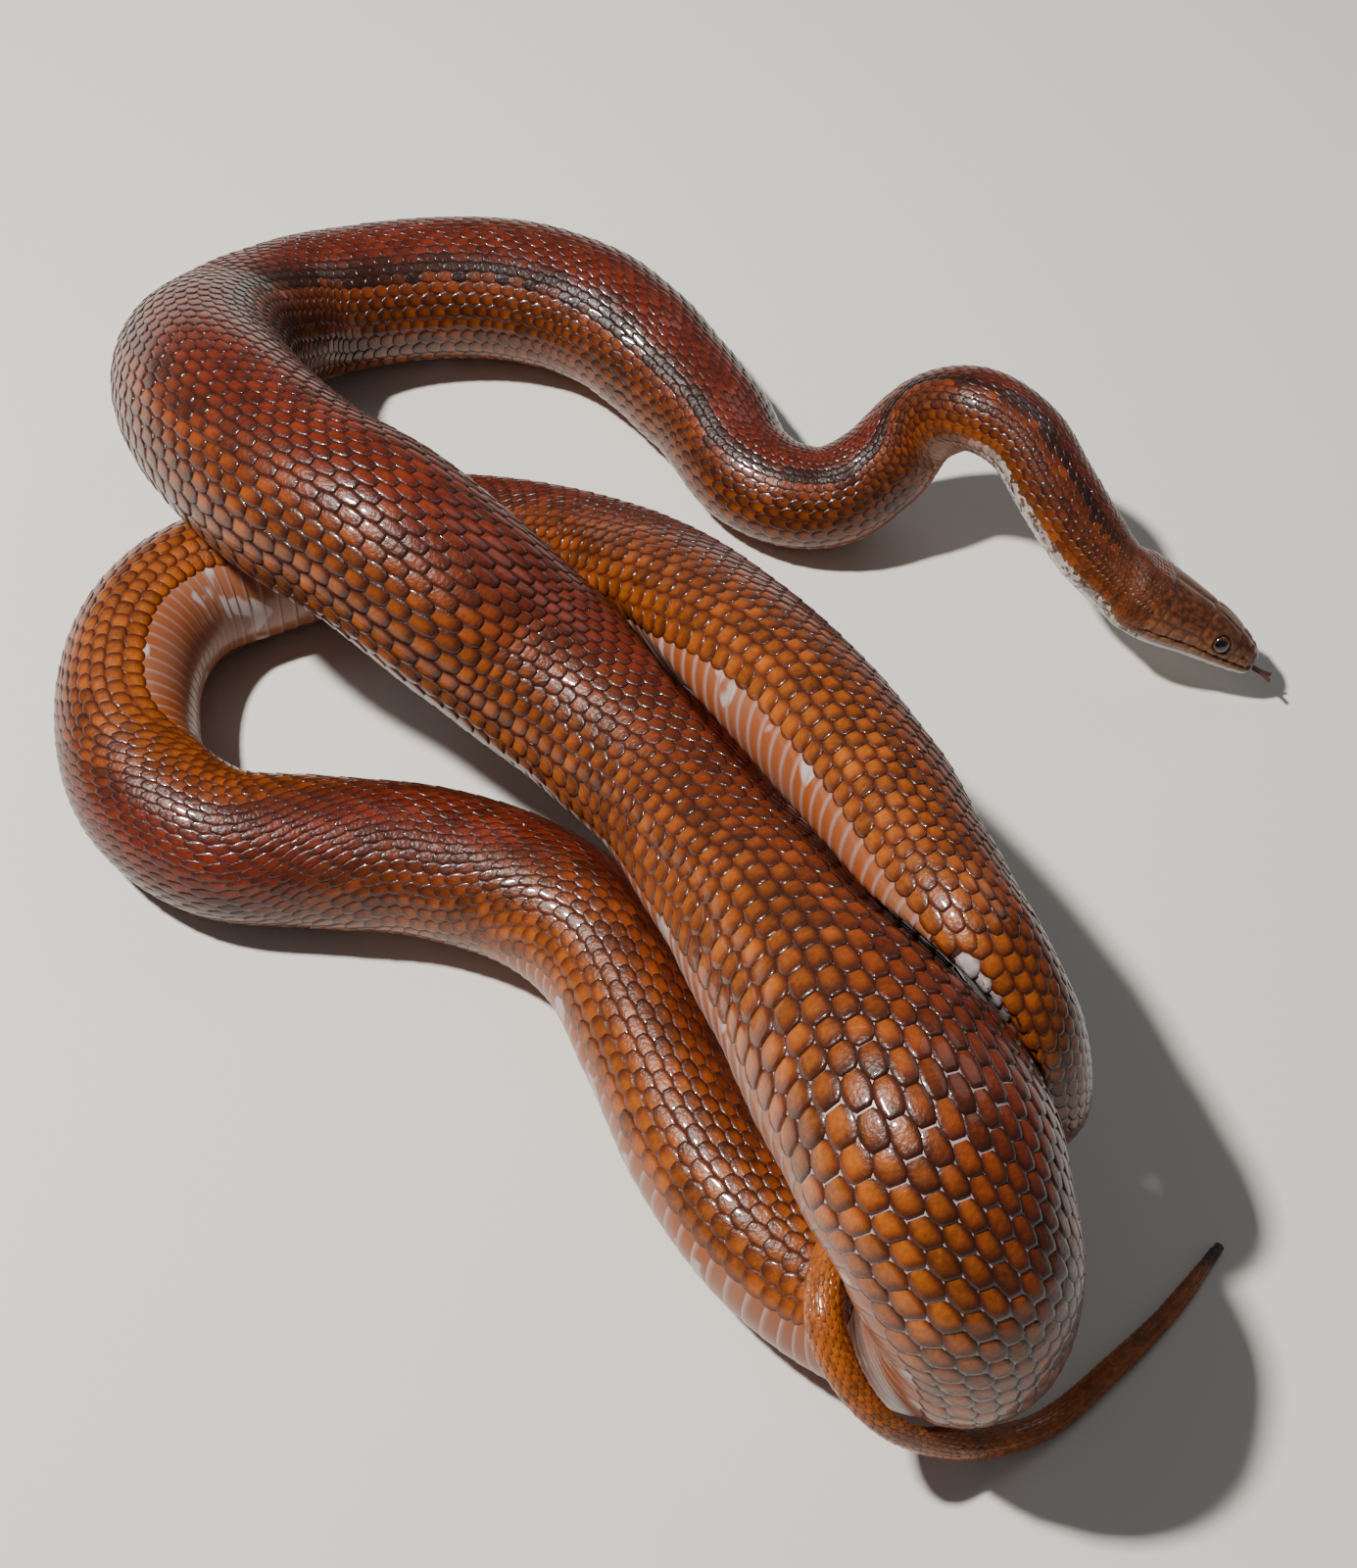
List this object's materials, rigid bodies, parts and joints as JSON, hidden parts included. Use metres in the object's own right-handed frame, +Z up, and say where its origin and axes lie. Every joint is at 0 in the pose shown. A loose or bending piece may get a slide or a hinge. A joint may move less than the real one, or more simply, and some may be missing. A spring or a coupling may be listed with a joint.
{
  "type": "snake figure",
  "caption": "Life-size still figure of a striped corn snake lying in raised loops, with a low head and a tail tip curled round.",
  "frame": {"origin": "middle of the footprint's bounding box, on the floor the snake lies on", "axes": "+Z up; -Y towards the viewer; +X to the viewer's right, the side the head points to"},
  "size_m": [0.1977, 0.2406, 0.0642],
  "materials": {
    "body": "glossy overlapping scales, striped red-brown and orange",
    "head": "glossy smooth shields",
    "eye": "wet, clear and dark",
    "tongue": "moist"
  },
  "bodies": {
    "root": {"head": "head", "eye_right": "eye", "eye_left": "eye", "tongue": "tongue", "neck": "body", "body_1": "body", "body_2": "body", "body_3": "body", "body_4": "body", "body_5": "body", "body_6": "body", "body_7": "body", "body_8": "body", "body_9": "body", "body_10": "body", "body_11": "body", "tail_base": "body", "tail": "body"}
  },
  "joints": []
}
